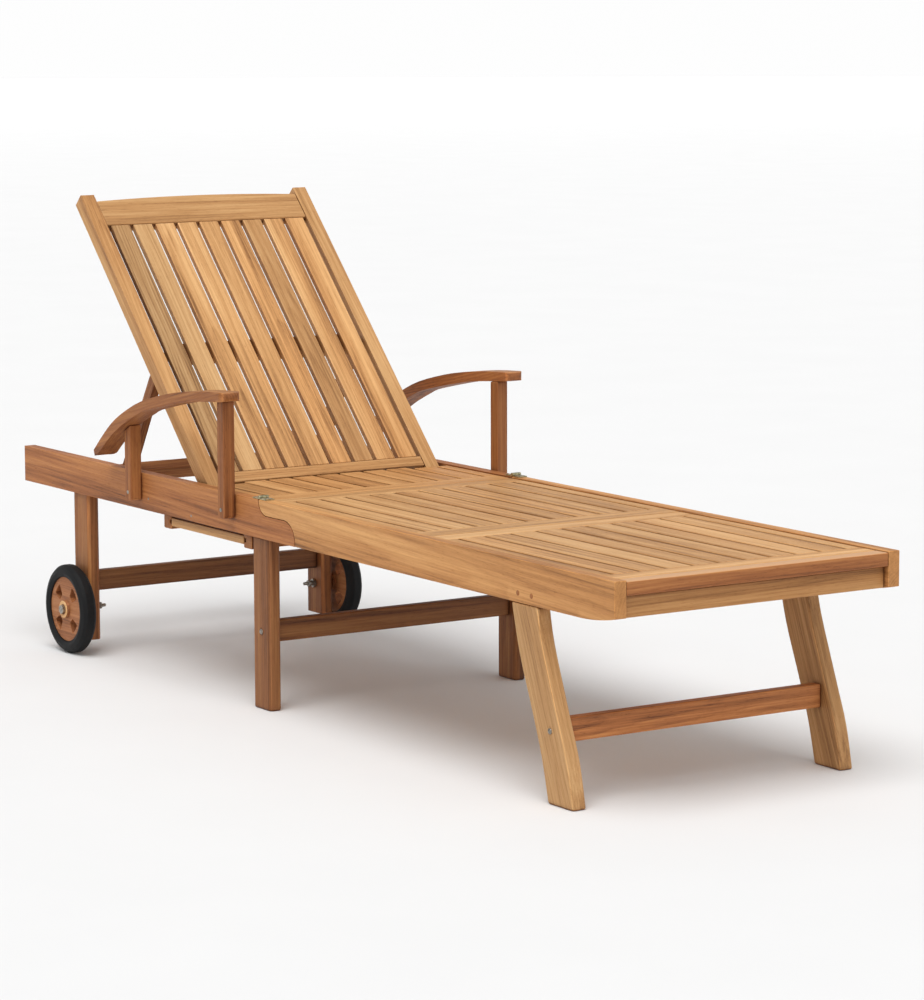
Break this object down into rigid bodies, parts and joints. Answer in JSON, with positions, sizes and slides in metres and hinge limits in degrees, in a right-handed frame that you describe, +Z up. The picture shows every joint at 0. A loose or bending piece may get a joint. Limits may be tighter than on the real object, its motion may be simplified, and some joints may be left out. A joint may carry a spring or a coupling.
{
  "type": "sun lounger",
  "caption": "Slatted teak sun lounger with a reclining back held by a notched prop, a fold-over foot half, armrests, a pull-out tray and wheels.",
  "frame": {"origin": "on the ground under the middle of the lounger", "axes": "+X along the length to the foot end, +Y to the left-hand side of a person lying on it, +Z up"},
  "size_m": [1.95, 0.627, 0.8559],
  "materials": {
    "teak_golden": "oiled light golden teak with fine straight grain",
    "teak_red": "oiled reddish-brown teak with fine straight grain",
    "tyre_rubber": "matte black rubber",
    "wheel_disc": "oiled reddish-brown wood, rounded edges",
    "bolt_steel": "plain steel, slightly worn",
    "hinge_brass": "dull weathered brass"
  },
  "bodies": {
    "head_frame": {"arm_post_front_left": "teak_red", "arm_post_front_right": "teak_red", "arm_post_rear_left": "teak_red", "arm_post_rear_right": "teak_red", "armrest_left": "teak_red", "armrest_right": "teak_red", "axle_bolt_left": "bolt_steel", "axle_bolt_right": "bolt_steel", "back_pivot_bolt_left": "bolt_steel", "back_pivot_bolt_right": "bolt_steel", "head_cross_rail": "teak_red", "head_rail_left": "teak_red", "head_rail_right": "teak_red", "hinge_leaf_head_left": "hinge_brass", "hinge_leaf_head_right": "hinge_brass", "mid_leg_left": "teak_red", "mid_leg_right": "teak_red", "mid_stretcher": "teak_red", "notch_rack_left": "teak_red", "notch_rack_right": "teak_red", "seat_panel_head": "teak_golden", "tray_runner_foot": "teak_red", "tray_runner_head": "teak_red", "wheel_leg_left": "teak_red", "wheel_leg_right": "teak_red", "wheel_stretcher": "teak_red"},
    "foot_frame": {"foot_leg_left": "teak_golden", "foot_leg_right": "teak_golden", "foot_rail_left": "teak_golden", "foot_rail_right": "teak_golden", "foot_stretcher": "teak_red", "front_apron": "teak_golden", "front_board": "teak_red", "hinge_leaf_foot_left": "hinge_brass", "hinge_leaf_foot_right": "hinge_brass", "seat_panel_foot": "teak_golden", "seat_panel_middle": "teak_golden"},
    "back": {"back_batten": "teak_red", "back_bottom_rail": "teak_golden", "back_slat_1": "teak_golden", "back_slat_2": "teak_golden", "back_slat_3": "teak_golden", "back_slat_4": "teak_golden", "back_slat_5": "teak_golden", "back_slat_6": "teak_golden", "back_slat_7": "teak_golden", "back_slat_8": "teak_golden", "back_slat_9": "teak_golden", "back_stile_left": "teak_golden", "back_stile_right": "teak_golden", "back_top_rail": "teak_golden"},
    "prop": {"prop_crossbar": "teak_red", "prop_leg_left": "teak_red", "prop_leg_right": "teak_red", "prop_rod": "teak_red"},
    "tray": {"tray": "teak_golden"},
    "wheel_right": {"wheel_tyre_right": "tyre_rubber", "wheel_disc_right": "wheel_disc"},
    "wheel_left": {"wheel_tyre_left": "tyre_rubber", "wheel_disc_left": "wheel_disc"}
  },
  "joints": [
    {"name": "foot_fold", "type": "hinge", "parent": "head_frame", "child": "foot_frame", "pos_m": [-0.078, 0, 0.3716], "axis": [0, -1, 0], "range_deg": [0, 125]},
    {"name": "back_recline", "type": "hinge", "parent": "head_frame", "child": "back", "pos_m": [-0.313, 0, 0.352], "axis": [0, -1, 0], "range_deg": [0, 46]},
    {"name": "prop_swing", "type": "hinge", "parent": "back", "child": "prop", "pos_m": [-0.53426, 0, 0.57248], "axis": [0, 1, 0], "range_deg": [0, 97.6]},
    {"name": "tray_slide", "type": "slide", "parent": "head_frame", "child": "tray", "axis": [0, -1, 0], "range_m": [0, 0.27]},
    {"name": "wheel_spin_right", "type": "hinge", "parent": "head_frame", "child": "wheel_right", "pos_m": [-0.756, -0.2905, 0.0835], "axis": [0, 1, 0], "continuous": true},
    {"name": "wheel_spin_left", "type": "hinge", "parent": "head_frame", "child": "wheel_left", "pos_m": [-0.756, 0.2905, 0.0835], "axis": [0, 1, 0], "continuous": true}
  ],
  "couplings": [
    {"joint": "prop_swing", "follows": "back_recline", "ratio": 2.1207}
  ]
}
